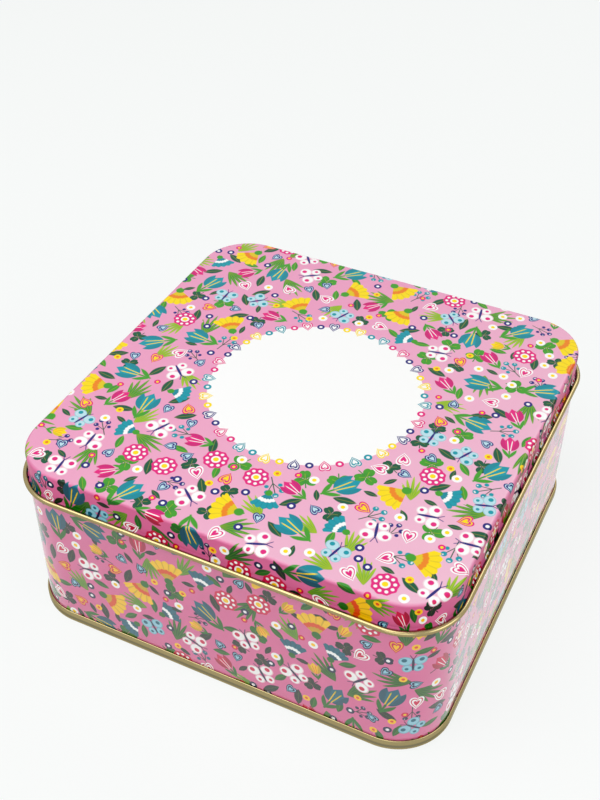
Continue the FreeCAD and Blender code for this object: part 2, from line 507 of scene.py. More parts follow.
@dataclass(frozen=True)
class GoldLacquer:
    """Bare tinplate under gold-coloured lacquer.

    Attributes:
        name: Name of the material.
        pale: Colour where the lacquer is thin.
        rich: Colour where it is thick.
        grazing: Tint of what is mirrored at a grazing angle.
        foot_shade: Colour of a band of painted shade round the lower part of the seam, where it mirrors the
            shaded floor.
        foot_shade_height: Height of the middle of that band.
        foot_shade_half: Half of its width.
        foot_shade_soft: Half the width of its soft edges.
        roughness: Roughness on average.
        scuffed: How far scuffs vary the roughness.
        rolled: How far the marks of rolling vary it.
        coat: Weight of the clear lacquer.
        coat_roughness: Roughness of the clear lacquer.
    """

    name: str
    pale: Colour = (0.405, 0.328, 0.16, 1.0)
    rich: Colour = (0.305, 0.238, 0.104, 1.0)
    grazing: Colour = (0.6, 0.55, 0.4, 1.0)
    foot_shade: Colour = (0.205, 0.177, 0.104, 1.0)
    foot_shade_height: float = 2.1 * MM
    foot_shade_half: float = 0.85 * MM
    foot_shade_soft: float = 0.4 * MM
    roughness: float = 0.2
    scuffed: float = 0.14
    rolled: float = 0.08
    coat: float = 0.2
    coat_roughness: float = 0.08

    def material(self) -> bpy.types.Material:
        """Build the material.

        Returns:
            The material.
        """
        material, graph = new_shader(self.name)
        cloud = graph.noise(60.0, 4.0)
        rolled = graph.noise(300.0, 3.0, (0.06, 1.0, 1.0))
        scuffs = graph.noise(900.0, 3.0)
        _, _, height = graph.parts(graph.place())
        # Painted shade: a darker band across the lower part of the seam round the foot, standing in for the
        # shaded floor that it mirrors.
        foot_shaded = abs(height - self.foot_shade_height).below(self.foot_shade_half, self.foot_shade_soft)
        colour = graph.mix(cloud * 0.7 + rolled * 0.3, self.pale, self.rich)
        colour = graph.mix(foot_shaded, colour, self.foot_shade)
        sockets = {
            "Base Color": colour,
            "Metallic": 1.0,
            "Roughness": self.roughness + self.scuffed * (scuffs - 0.5) + self.rolled * (rolled - 0.5),
            "Normal": graph.bump(rolled, 0.04),
            "Specular Tint": self.grazing,
            "Coat Weight": self.coat,
            "Coat Roughness": self.coat_roughness,
        }
        close_shader(graph, graph.node("ShaderNodeBsdfPrincipled", {}, sockets))
        return material


@dataclass(frozen=True)
class PaperFloor:
    """Plain pale paper that the object stands on.

    Attributes:
        name: Name of the material.
        paper: Colour of the paper.
        fibre: Colour of its fibres.
        fibre_share: How much of that colour shows.
        shown: Colour that the camera and reflections see away from shadow.
        share: How much of that colour the camera sees over the lit paper.
        mirrored: How much of it reflections see.
    """

    name: str
    paper: Colour = (0.86, 0.88, 0.87, 1.0)
    fibre: Colour = (0.8, 0.82, 0.81, 1.0)
    fibre_share: float = 0.03
    shown: Colour = (0.965, 0.983, 0.974, 1.0)
    share: float = 0.84
    mirrored: float = 1.0

    def material(self) -> bpy.types.Material:
        """Build the material.

        Returns:
            The material.
        """
        material, graph = new_shader(self.name)
        tone = graph.mix(graph.noise(500.0, 3.0) * self.fibre_share, self.paper, self.fibre)
        sockets = {"Base Color": tone, "Roughness": 0.9, "Specular IOR Level": 0.1}
        paper = graph.node("ShaderNodeBsdfPrincipled", {}, sockets)
        glow = graph.node("ShaderNodeEmission", {}, {"Color": self.shown})
        seen = seen_rays(graph, self.share, self.mirrored)
        mixed = graph.node("ShaderNodeMixShader", {}, {0: seen, 1: paper.outputs[0], 2: glow.outputs[0]})
        close_shader(graph, mixed)
        return material


def seen_rays(graph: Graph, direct: float = 1.0, mirrored: float = 1.0) -> Wire:
    """Mask of the rays that show the background.

    Args:
        graph: Tree of the material or world.
        direct: Value for rays from the camera.
        mirrored: Value for rays that come by gloss or through glass.

    Returns:
        The mask.
    """
    rays = graph.node("ShaderNodeLightPath", {}, {}).outputs
    shares = {"Camera": direct, "Glossy": mirrored, "Transmission": mirrored}
    return graph.union([Wire(graph, rays[f"Is {name} Ray"]) * share for name, share in shares.items()])


@dataclass
class SectionPoint:
    """Point of a sheet's outline, in millimetres.

    Attributes:
        out: Distance outward from a corner's axis.
        up: Height above the table.
        run: Length along the sheet from its first point.
        printed: Whether it lies on the printed side.
    """

    out: float
    up: float
    run: float
    printed: bool = False


@dataclass
class SheetLine:
    """Folded sheet drawn along its middle line, outward and up from a corner's axis.

    Attributes:
        sheet: Thickness of the tinplate.
        out: Distance outward of the pen, in millimetres.
        up: Height of the pen.
        heading: Direction of the pen in degrees, 0 outward and 90 up.
        printed_side: 1 if the left side is printed, -1 if the right side is.
        pitch: Longest step along a printed straight.
        turn_step: Largest step round a bend, in degrees.
        guard: Distance of the points that keep a straight flat up to its ends.
        guarded: Shortest straight that has them.
        run: Length drawn so far.
        sides: Points drawn so far on the left side, 1, and on the right side, -1.
    """

    sheet: float
    out: float
    up: float
    heading: float
    printed_side: int = 1
    pitch: float = 1.5
    turn_step: float = 11.0
    guard: float = 0.12
    guarded: float = 0.6
    run: float = 0.0
    sides: dict[int, list[SectionPoint]] = field(default_factory=lambda: {1: [], -1: []})

    def __post_init__(self) -> None:
        """Put down the first point of both sides."""
        for side in self.sides:
            self.mark(side, self.out, self.up, self.heading, self.run, False)

    def mark(self, side: int, out: float, up: float, heading: float, run: float, printed: bool) -> None:
        """Add a point beside the middle line.

        Args:
            side: 1 for the left side, -1 for the right side.
            out: Distance outward of the middle line.
            up: Height of the middle line.
            heading: Its direction there, in degrees.
            run: Length along the sheet.
            printed: Whether the move is printed.
        """
        angle = math.radians(heading)
        offset = side * self.sheet / 2
        inked = printed and side == self.printed_side
        if inked:
            self.sides[side][-1].printed = True
        point = SectionPoint(out - offset * math.sin(angle), up + offset * math.cos(angle), run, inked)
        self.sides[side].append(point)

    def straight(self, length: float, printed: bool = False) -> "SheetLine":
        """Go straight on.

        Args:
            length: Length in millimetres.
            printed: Whether its printed side carries the print.

        Returns:
            The line itself.
        """
        angle = math.radians(self.heading)
        for side in self.sides:
            stops = {length}
            if length > self.guarded:
                stops |= {self.guard, length - self.guard}
            if printed and side == self.printed_side:
                count = math.ceil(length / self.pitch - 1e-6)
                stops |= {length * index / count for index in range(1, count)}
            for stop in sorted(stops):
                out = self.out + stop * math.cos(angle)
                up = self.up + stop * math.sin(angle)
                self.mark(side, out, up, self.heading, self.run + stop, printed)
        self.out += length * math.cos(angle)
        self.up += length * math.sin(angle)
        self.run += length
        return self

    def bend(self, radius: float, degrees: float, printed: bool = False) -> "SheetLine":
        """Turn along an arc.

        Args:
            radius: Radius of the middle line.
            degrees: Turn, to the left positive.
            printed: Whether its printed side carries the print.

        Returns:
            The line itself.
        """
        signed = math.copysign(radius, degrees)
        start = math.radians(self.heading)
        centre_out = self.out - signed * math.sin(start)
        centre_up = self.up + signed * math.cos(start)
        count = math.ceil(abs(degrees) / self.turn_step)
        length = radius * math.radians(abs(degrees))
        for index in range(1, count + 1):
            share = index / count
            heading = self.heading + degrees * share
            angle = math.radians(heading)
            out = centre_out + signed * math.sin(angle)
            up = centre_up - signed * math.cos(angle)
            for side in self.sides:
                self.mark(side, out, up, heading, self.run + length * share, printed)
        self.out, self.up = out, up
        self.heading += degrees
        self.run += length
        return self

    def outline(self) -> list[SectionPoint]:
        """Points along the left side and back along the right side."""
        return self.sides[1] + self.sides[-1][::-1]


@dataclass(frozen=True)
class TinSizes:
    """Sizes that the three sheets share, in millimetres.

    Attributes:
        sheet: Thickness of the tinplate.
        fold_gap: Film between the layers of a seam.
        hook_end_gap: Left free past a raw edge inside a fold.
        lid_clearance: Between the lid's skirt and the neck.
        corner_radius: Outside the wall.
        neck_step: How far the neck is set in.
        seam_height: Double seam from the table up.
        hook_top: Top of the wall's hook inside the double seam.
        bead_diameter: Bead at the foot of the lid's skirt.
        skirt_flare: How far the skirt is spread just above its bead.
        flare_radius: Middle radius of the two bends of the flare.
        pitch: Step of the meshes along the sides.
        corner_steps: Steps round a corner.
    """

    sheet: float = 0.3
    fold_gap: float = 0.08
    hook_end_gap: float = 0.25
    lid_clearance: float = 0.4
    corner_radius: float = 24.3
    neck_step: float = 1.2
    seam_height: float = 5.0
    hook_top: float = 2.9
    bead_diameter: float = 2.4
    skirt_flare: float = 0.6
    flare_radius: float = 1.5
    pitch: float = 1.5
    corner_steps: int = 24

    @property
    def layer(self) -> float:
        """A sheet and the film beside it."""
        return self.sheet + self.fold_gap

    @property
    def wall_middle(self) -> float:
        """Middle of the wall outward from a corner's axis."""
        return self.corner_radius - self.sheet / 2

    @property
    def neck_middle(self) -> float:
        """Middle of the neck outward from a corner's axis."""
        return self.wall_middle - self.neck_step

    @property
    def skirt_middle(self) -> float:
        """Middle of the lid's skirt outward from a corner's axis."""
        return self.neck_middle + self.sheet + self.lid_clearance

    @property
    def fold_outside(self) -> float:
        """Outside of a fold that closes round one layer."""
        return self.layer + self.sheet / 2

    @property
    def corners(self) -> np.ndarray:
        """Distance of the corners' axes from the middle, along X and Y."""
        _, high = node_box("bottom_plate")
        return high[:2] - self.corner_radius - 3 * self.layer

    @property
    def path_radius(self) -> float:
        """Radius whose corner steps are as long as the steps along the sides."""
        return self.pitch / (2 * math.sin(math.pi / (4 * self.corner_steps)))


def step_bends(step: float, radius: float) -> tuple[float, float]:
    """Two equal bends that carry a sheet sideways.

    Args:
        step: How far they carry it.
        radius: Middle radius of both bends.

    Returns:
        Turn of each bend in degrees, and the length that both take up along the sheet.
    """
    turn = math.acos(1 - step / (2 * radius))
    return math.degrees(turn), 2 * radius * math.sin(turn)


def node_box(node: str) -> tuple[np.ndarray, np.ndarray]:
    """Lowest and highest corner of a CAD node, in millimetres."""
    low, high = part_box(node)
    return np.array(low) / MM, np.array(high) / MM


class SheetSweep:
    """Geometry Nodes tree that carries a section round the box and closes it with a flat panel."""

    INPUTS = (
        ("Section", "NodeSocketObject"),
        ("Width", "NodeSocketFloat"),
        ("Depth", "NodeSocketFloat"),
        ("Path Radius", "NodeSocketFloat"),
        ("Corner Steps", "NodeSocketInt"),
        ("Steps Around", "NodeSocketInt"),
        ("Corner Axis", "NodeSocketVector"),
        ("Has Panel", "NodeSocketBool"),
        ("Panel Size", "NodeSocketVector"),
        ("Panel Points X", "NodeSocketInt"),
        ("Panel Points Y", "NodeSocketInt"),
        ("Panel Top", "NodeSocketVector"),
        ("Panel Underside", "NodeSocketVector"),
        ("Panel Print", "NodeSocketFloat"),
        ("Printed", "NodeSocketMaterial"),
        ("Bare", "NodeSocketMaterial"),
    )

    def __init__(self) -> None:
        """Build the tree."""
        self.tree = bpy.data.node_groups.new("sheet_sweep", "GeometryNodeTree")
        self.graph = Graph(self.tree)
        for name, kind in self.INPUTS:
            self.tree.interface.new_socket(name, in_out="INPUT", socket_type=kind)
        self.tree.interface.new_socket("Geometry", in_out="OUTPUT", socket_type="NodeSocketGeometry")
        self.source = self.tree.nodes.new("NodeGroupInput").outputs
        swept = self.swept_section()
        panel = self.flat_panel()
        self.close(swept, panel)

    def node(self, kind: str, sockets: dict[Union[str, int], Any], **settings: Any) -> bpy.types.NodeSocket:
        """Add a node and return its first output."""
        return self.graph.node(kind, settings, sockets).outputs[0]

    def named(self, name: str, kind: str = "FLOAT_VECTOR") -> bpy.types.NodeSocket:
        """Read a named attribute."""
        return self.node("GeometryNodeInputNamedAttribute", {"Name": name}, data_type=kind)

    def store(
        self, geometry: bpy.types.NodeSocket, name: str, value: Any, kind: str = "FLOAT_VECTOR",
    ) -> bpy.types.NodeSocket:
        """Store a named attribute on the points of a geometry."""
        sockets = {"Geometry": geometry, "Name": name, "Value": value}
        return self.node("GeometryNodeStoreNamedAttribute", sockets, data_type=kind, domain="POINT")

    def vector(self, operation: str, *values: Any) -> bpy.types.NodeSocket:
        """Add a Vector Math node."""
        return self.node("ShaderNodeVectorMath", dict(enumerate(values)), operation=operation)

    def joined(self, first: bpy.types.NodeSocket, second: bpy.types.NodeSocket) -> bpy.types.NodeSocket:
        """Join two geometries."""
        join = self.graph.node("GeometryNodeJoinGeometry", {}, {0: first})
        self.tree.links.new(second, join.inputs[0])
        return join.outputs[0]

    def swept_section(self) -> bpy.types.NodeSocket:
        """Carry the section along the rounded square.

        Returns:
            The swept mesh.
        """
        source = self.source
        sockets = {"Width": source["Width"], "Height": source["Depth"]}
        square = self.node("GeometryNodeCurvePrimitiveQuadrilateral", sockets, mode="RECTANGLE")
        sockets = {0: square, "Count": source["Corner Steps"], "Radius": source["Path Radius"]}
        rounded = self.node("GeometryNodeFilletCurve", sockets, mode="POLY")
        sockets = {0: rounded, "Count": source["Steps Around"]}
        path = self.node("GeometryNodeResampleCurve", sockets, mode="COUNT")
        place = self.node("GeometryNodeInputPosition", {})
        corner = source["Corner Axis"]
        back = self.vector("MULTIPLY", corner, (-1.0, -1.0, -1.0))
        axis = self.vector("MINIMUM", self.vector("MAXIMUM", place, back), corner)
        path = self.store(path, "axis", axis)
        outward = self.vector("NORMALIZE", self.vector("SUBTRACT", place, self.named("axis")))
        path = self.store(path, "outward", outward)
        shape = self.graph.node("GeometryNodeObjectInfo", {}, {"Object": source["Section"]})
        section = self.node("GeometryNodeMeshToCurve", {0: shape.outputs["Geometry"]})
        swept = self.node("GeometryNodeCurveToMesh", {"Curve": path, "Profile Curve": section})
        sockets = {0: self.named("outward"), "Scale": self.named("out", "FLOAT")}
        reach = self.node("ShaderNodeVectorMath", sockets, operation="SCALE")
        rise = self.node("ShaderNodeCombineXYZ", {"Z": self.named("up", "FLOAT")})
        placed = self.vector("ADD", self.vector("ADD", self.named("axis"), reach), rise)
        return self.node("GeometryNodeSetPosition", {0: swept, "Position": placed})

    def flat_panel(self) -> bpy.types.NodeSocket:
        """Make both faces of the flat panel between the corners' axes.

        Returns:
            The two faces, or nothing where the sheet has no panel.
        """
        source = self.source
        size = self.graph.node("ShaderNodeSeparateXYZ", {}, {0: source["Panel Size"]}).outputs
        grid = self.node("GeometryNodeMeshGrid", {
            "Size X": size[0],
            "Size Y": size[1],
            "Vertices X": source["Panel Points X"],
            "Vertices Y": source["Panel Points Y"],
        })
        top = self.node("GeometryNodeTransform", {0: grid, "Translation": source["Panel Top"]})
        top = self.store(top, "printed", source["Panel Print"], "FLOAT")
        low = self.node("GeometryNodeTransform", {0: grid, "Translation": source["Panel Underside"]})
        both = self.joined(top, self.node("GeometryNodeFlipFaces", {0: low}))
        sockets = {"Switch": source["Has Panel"], "True": both}
        return self.node("GeometryNodeSwitch", sockets, input_type="GEOMETRY")

    def close(self, swept: bpy.types.NodeSocket, panel: bpy.types.NodeSocket) -> None:
        """Join, weld and dress the mesh.

        Args:
            swept: The swept section.
            panel: The flat panel.
        """
        source = self.source
        sockets = {0: self.joined(swept, panel), "Distance": WELD}
        welded = self.node("GeometryNodeMergeByDistance", sockets)
        smooth = self.node("GeometryNodeSetShadeSmooth", {0: welded})
        real = self.node("GeometryNodeRealizeInstances", {0: smooth})
        bare = self.node("GeometryNodeSetMaterial", {0: real, "Material": source["Bare"]})
        sockets = {0: self.named("printed", "FLOAT"), 1: 0.99}
        inked = self.node("FunctionNodeCompare", sockets, data_type="FLOAT", operation="GREATER_THAN")
        sockets = {0: bare, "Selection": inked, "Material": source["Printed"]}
        self.graph.node("NodeGroupOutput", {}, {0: self.node("GeometryNodeSetMaterial", sockets)})

    def make(self, name: str, values: dict[str, Any]) -> bpy.types.Object:
        """Run the tree once and keep its mesh.

        Args:
            name: Name of the piece.
            values: Value of each named input.

        Returns:
            The piece, with no modifier left on it.
        """
        piece = bpy.data.objects.new(name, bpy.data.meshes.new(name))
        bpy.context.scene.collection.objects.link(piece)
        modifier = piece.modifiers.new("sheet", "NODES")
        modifier.node_group = self.tree
        for item in self.tree.interface.items_tree:
            if item.in_out == "INPUT" and item.name in values:
                modifier[item.identifier] = values[item.name]
        piece.update_tag()
        bpy.context.view_layer.update()
        graph = bpy.context.evaluated_depsgraph_get()
        mesh = bpy.data.meshes.new_from_object(piece.evaluated_get(graph), depsgraph=graph)
        mesh.name = name
        piece.modifiers.clear()
        piece.data = mesh
        return piece


def section_object(points: list[SectionPoint], closed: bool, shift: float) -> bpy.types.Object:
    """Make the chain of edges that a sheet's section follows.

    Args:
        points: Outline of the section.
        closed: Whether the last point joins the first.
        shift: Radius of the path, in millimetres.

    Returns:
        The chain as an object, to be removed after use.
    """
    mesh = bpy.data.meshes.new("section")
    edges = [(index, index + 1) for index in range(len(points) - 1)]
    if closed:
        edges.append((len(points) - 1, 0))
    mesh.from_pydata([((point.out - shift) * MM, -point.up * MM, 0.0) for point in points], edges, [])
    columns = {
        "out": [point.out * MM for point in points],
        "up": [point.up * MM for point in points],
        "run": [point.run for point in points],
        "printed": [float(point.printed) for point in points],
    }
    for name, values in columns.items():
        mesh.attributes.new(name, "FLOAT", "POINT").data.foreach_set("value", values)
    chain = bpy.data.objects.new("section", mesh)
    bpy.context.scene.collection.objects.link(chain)
    return chain


@dataclass(frozen=True)
class Figure:
    """A figure of the print and how often it is strewn.

    Attributes:
        kind: Green or Motif.
        radius: Half its length, in millimetres.
        share: How many come on 100 square centimetres.
        ink: Its main ink.
        second: Its second ink.
        slim: Half width of the room that it takes, in radii.
    """

    kind: Union[Green, Motif]
    radius: float
    share: float
    ink: Ink
    second: Ink = Ink.YELLOW
    slim: float = 1.0


MOTIFS = (
    Figure(Motif.TULIP, 10.2, 5.5, Ink.TEAL, Ink.YELLOW, 0.55),
    Figure(Motif.FAN, 7.8, 3.4, Ink.YELLOW, Ink.ORANGE, 0.88),
    Figure(Motif.BUTTERFLY, 7.0, 3.6, Ink.WHITE, Ink.MAGENTA, 0.95),
    Figure(Motif.WHEEL, 5.6, 4.0, Ink.MAGENTA, Ink.WHITE),
    Figure(Motif.BUTTERFLY, 6.2, 3.0, Ink.SKY, Ink.TEAL, 0.95),
    Figure(Motif.TULIP, 7.6, 4.5, Ink.MAGENTA, Ink.WHITE, 0.55),
    Figure(Motif.FAN, 6.0, 3.0, Ink.TEAL, Ink.WHITE, 0.88),
    Figure(Motif.HEART, 4.4, 6.0, Ink.WHITE, Ink.MAGENTA),
    Figure(Motif.HEART, 4.0, 5.0, Ink.MAGENTA, Ink.YELLOW),
    Figure(Motif.TULIP, 5.6, 5.0, Ink.YELLOW, Ink.ORANGE, 0.55),
    Figure(Motif.HEART, 3.4, 12.0, Ink.NAVY, Ink.SKY),
    Figure(Motif.ROUND, 2.3, 10.0, Ink.WHITE, Ink.YELLOW),
    Figure(Motif.ROUND, 2.0, 12.0, Ink.NAVY, Ink.WHITE),
    Figure(Motif.ROUND, 1.8, 10.0, Ink.YELLOW, Ink.ORANGE),
    Figure(Motif.ROUND, 1.6, 10.0, Ink.MAGENTA, Ink.YELLOW),
)

GREENS = (
    Figure(Green.TUFT, 8.8, 5.0, Ink.GREEN, slim=0.55),
    Figure(Green.TUFT, 7.6, 6.0, Ink.LIME, slim=0.55),
    Figure(Green.CLOVER, 5.2, 5.0, Ink.GREEN),
    Figure(Green.TWIG, 6.4, 3.0, Ink.TEAL, slim=0.7),
    Figure(Green.TWIG, 5.6, 3.0, Ink.NAVY, slim=0.7),
    Figure(Green.CLOVER, 4.2, 6.0, Ink.FOREST),
    Figure(Green.LEAF, 5.0, 14.0, Ink.FOREST, slim=0.45),
    Figure(Green.LEAF, 4.2, 14.0, Ink.GREEN, slim=0.45),
    Figure(Green.LEAF, 3.2, 16.0, Ink.FOREST, slim=0.45),
)


@dataclass
class Strewing:
    """Figures strewn over a flat cut of print without touching each other.

    Attributes:
        low: Lowest corner of the cut, in millimetres.
        high: Highest corner of the cut.
        seed: Seed of the draws.
        gap: Least room between two figures.
        keep_out: Tells which points stay free, if any do.
        figures: Figures put down so far.
        places: Middle and turn of each.
        rings: Middle and radius of the circles that cover them, and the number of their figure.
    """

    BLOCK = 4096
    SHARE_AREA = 100.0 ** 2

    low: np.ndarray
    high: np.ndarray
    seed: int
    gap: float = 1.2
    keep_out: Optional[Chooser] = None
    figures: list[Figure] = field(default_factory=list)
    places: list[tuple[float, float, float]] = field(default_factory=list)
    rings: np.ndarray = field(default_factory=lambda: np.empty((0, 4)))

    def circles(self, figure: Figure, x: float, y: float, turn: float) -> np.ndarray:
        """Circles that cover a figure.

        Args:
            figure: The figure.
            x: Its middle.
            y: Its middle.
            turn: Its turn, in radians.

        Returns:
            Middle and radius of each circle.
        """
        if figure.slim >= 1.0:
            return np.array([[x, y, figure.radius]])
        half = figure.radius * figure.slim
        count = math.ceil(1 / figure.slim)
        reach = np.linspace(-1, 1, count) * (figure.radius - half)
        middles = x + reach * math.cos(turn), y + reach * math.sin(turn)
        return np.stack([*middles, np.full(count, half)], axis=1)

    def put(self, figure: Figure, x: float, y: float, turn: float) -> None:
        """Put a figure down where it is told to be."""
        circles = self.circles(figure, x, y, turn)
        numbers = np.full(len(circles), len(self.figures))
        self.rings = np.vstack([self.rings, np.column_stack([circles, numbers])])
        self.figures.append(figure)
        self.places.append((x, y, turn))

    def fits(self, circles: np.ndarray) -> bool:
        """Tell whether circles keep clear of all that is there.

        Args:
            circles: Middle and radius of each circle.

        Returns:
            True where there is room.
        """
        if self.keep_out is not None and self.keep_out(circles[:, :2]).any():
            return False
        across = circles[:, None, :2] - self.rings[None, :, :2]
        reach = circles[:, None, 2] + self.rings[None, :, 2] + self.gap
        return bool(((across ** 2).sum(axis=2) > reach ** 2).all())

    def strew(self, figures: tuple[Figure, ...], tries: int = 60) -> None:
        """Strew figures at random, the large ones first.

        Args:
            figures: Figures in the order that they are strewn.
            tries: Draws for each figure that is asked for.
        """
        draws = np.random.default_rng(self.seed)
        area = float(np.prod(self.high - self.low)) / self.SHARE_AREA
        for figure in figures:
            wanted = round(figure.share * area)
            for _ in range(wanted * tries):
                if wanted == 0:
                    break
                x, y = draws.uniform(self.low, self.high)
                turn = draws.uniform(0, 2 * math.pi)
                if self.fits(self.circles(figure, x, y, turn)):
                    self.put(figure, x, y, turn)
                    wanted -= 1

    def owners(self, points: np.ndarray) -> np.ndarray:
        """Find the figure that each point belongs to.

        Args:
            points: Points on the cut, in millimetres.

        Returns:
            Number of the figure for each point.
        """
        rings = self.rings
        found = np.empty(len(points), dtype=int)
        for start in range(0, len(points), self.BLOCK):
            block = points[start:start + self.BLOCK]
            apart = ((block[:, None] - rings[None, :, :2]) ** 2).sum(axis=2)
            found[start:start + self.BLOCK] = (apart - rings[None, :, 2] ** 2).argmin(axis=1)
        return rings[found, 3].astype(int)

    def local(self, owners: np.ndarray, points: np.ndarray) -> np.ndarray:
        """Points in the frame of their figure, in its radii.

        Args:
            owners: Number of the figure for each point.
            points: Points on the cut.

        Returns:
            Coordinates in each figure's own frame.
        """
        places = np.array(self.places)[owners]
        radii = np.array([figure.radius for figure in self.figures])[owners]
        x, y = (points - places[:, :2]).T
        cos, sin = np.cos(places[:, 2]), np.sin(places[:, 2])
        return np.stack([x * cos + y * sin, y * cos - x * sin], axis=1) / radii[:, None]


@dataclass
class PrintLayout:
    """Both layers of a print, and the attributes that carry them to the material.

    Attributes:
        greens: Layer of leaves.
        motifs: Layer of larger figures over it.
        cover: How near the middle of a larger figure no green starts, in its radii.
    """

    greens: Strewing
    motifs: Strewing
    cover: float = 0.8

    def covered(self, points: np.ndarray) -> np.ndarray:
        """Tell which points lie under the upper layer or stay free.

        Args:
            points: Points on the cut, in millimetres.

        Returns:
            True for each point where no green starts.
        """
        rings = self.motifs.rings
        across = points[:, None] - rings[None, :, :2]
        hidden = ((across ** 2).sum(axis=2) < (rings[None, :, 2] * self.cover) ** 2).any(axis=1)
        free = self.motifs.keep_out
        return hidden if free is None else hidden | free(points)

    def strew(self, keep_out: Optional[Chooser] = None) -> None:
        """Strew the upper layer, then the greens between and partly under it.

        Args:
            keep_out: Tells which points stay free, if any do.
        """
        self.motifs.keep_out = keep_out
        self.motifs.strew(MOTIFS)
        self.greens.keep_out = self.covered
        self.greens.strew(GREENS)
        log.info("print: %d figures over %d greens", len(self.motifs.figures), len(self.greens.figures))

    def write(self, mesh: bpy.types.Mesh, corners: np.ndarray, faces: np.ndarray) -> None:
        """Write the layers to the corners of a mesh.

        Args:
            mesh: Mesh of the piece.
            corners: Place of each face corner on the flat cut.
            faces: Number of the face that each corner belongs to.
        """
        centres = face_means(corners, faces)
        for name, layer in (("green", self.greens), ("motif", self.motifs)):
            owners = layer.owners(centres)[faces]
            kinds = np.array([figure.kind.value for figure in layer.figures], dtype=float)[owners]
            self.vectors(mesh, name + "_place", np.column_stack([layer.local(owners, corners), kinds]))
            inks = np.array([figure.ink.linear[:3] for figure in layer.figures])
            self.vectors(mesh, name + "_ink", inks[owners])
        seconds = np.array([figure.second.linear[:3] for figure in self.motifs.figures])
        self.vectors(mesh, "second_ink", seconds[owners])

    @staticmethod
    def vectors(mesh: bpy.types.Mesh, name: str, values: np.ndarray) -> None:
        """Write three numbers to each face corner."""
        layer = mesh.attributes.new(name, "FLOAT_VECTOR", "CORNER")
        layer.data.foreach_set("vector", np.ascontiguousarray(values, dtype=np.float32).ravel())


@dataclass
class Sheet:
    """A sheet of the box, swept from its section.

    Attributes:
        sizes: Sizes that the sheets share.
        sweep: Tree that carries a section round.
    """

    sizes: TinSizes
    sweep: SheetSweep

    def build(
        self, name: str, line: SheetLine, printed: bpy.types.Material, bare: bpy.types.Material,
        panel: Optional[tuple[float, float]] = None, panel_print: float = 0.0,
    ) -> bpy.types.Object:
        """Sweep a section into a piece.

        Args:
            name: Name of the piece.
            line: The sheet's line.
            printed: Material of the printed side.
            bare: Material of the rest.
            panel: Heights of the upper and lower face of its flat panel, if it has one.
            panel_print: 1 where the panel's upper face is printed.

        Returns:
            The piece.
        """
        sizes = self.sizes
        radius = sizes.path_radius
        x, y = sizes.corners.tolist()
        steps_x, steps_y = round(2 * x / sizes.pitch), round(2 * y / sizes.pitch)
        chain = section_object(line.outline(), panel is None, radius)
        top, low = panel if panel else (0.0, 0.0)
        piece = self.sweep.make(name, {
            "Section": chain,
            "Width": 2 * (x + radius) * MM,
            "Depth": 2 * (y + radius) * MM,
            "Path Radius": radius * MM,
            "Corner Steps": sizes.corner_steps,
            "Steps Around": 2 * (steps_x + steps_y) + 4 * sizes.corner_steps,
            "Corner Axis": (x * MM, y * MM, 0.0),
            "Has Panel": panel is not None,
            "Panel Size": (2 * x * MM, 2 * y * MM, 0.0),
            "Panel Points X": steps_x + 1,
            "Panel Points Y": steps_y + 1,
            "Panel Top": (0.0, 0.0, float(top * MM)),
            "Panel Underside": (0.0, 0.0, float(low * MM)),
            "Panel Print": panel_print,
            "Printed": printed,
            "Bare": bare,
        })
        mesh = chain.data
        bpy.data.objects.remove(chain)
        bpy.data.meshes.remove(mesh)
        if signed_volume(piece.data) < 0:
            piece.data.flip_normals()
        return piece


def signed_volume(mesh: bpy.types.Mesh) -> float:
    """Volume inside a closed mesh, negative where its faces point inward."""
    mesh.calc_loop_triangles()
    points = mesh_points(mesh)
    corners = np.empty(len(mesh.loop_triangles) * 3, dtype=int)
    mesh.loop_triangles.foreach_get("vertices", corners)
    a, b, c = points[corners.reshape(-1, 3)].transpose(1, 0, 2)
    return float((a * np.cross(b, c)).sum() / 6)


def mesh_points(mesh: bpy.types.Mesh) -> np.ndarray:
    """Places of a mesh's vertices, in metres."""
    points = np.empty(len(mesh.vertices) * 3)
    mesh.vertices.foreach_get("co", points)
    return points.reshape(-1, 3)


def mesh_corners(mesh: bpy.types.Mesh) -> tuple[np.ndarray, np.ndarray]:
    """Vertex and face of every face corner of a mesh.

    Args:
        mesh: The mesh.

    Returns:
        Number of the vertex and of the face for each corner.
    """
    vertices = np.empty(len(mesh.loops), dtype=int)
    mesh.loops.foreach_get("vertex_index", vertices)
    totals = np.empty(len(mesh.polygons), dtype=int)
    mesh.polygons.foreach_get("loop_total", totals)
    return vertices, np.repeat(np.arange(len(totals)), totals)


def point_values(mesh: bpy.types.Mesh, name: str) -> np.ndarray:
    """Numbers that an attribute gives to a mesh's vertices."""
    values = np.empty(len(mesh.vertices))
    mesh.attributes[name].data.foreach_get("value", values)
    return values


def face_means(values: np.ndarray, faces: np.ndarray) -> np.ndarray:
    """Mean of corner values over each face."""
    counts = np.bincount(faces)
    return np.stack([np.bincount(faces, weights=column) / counts for column in values.T], axis=1)


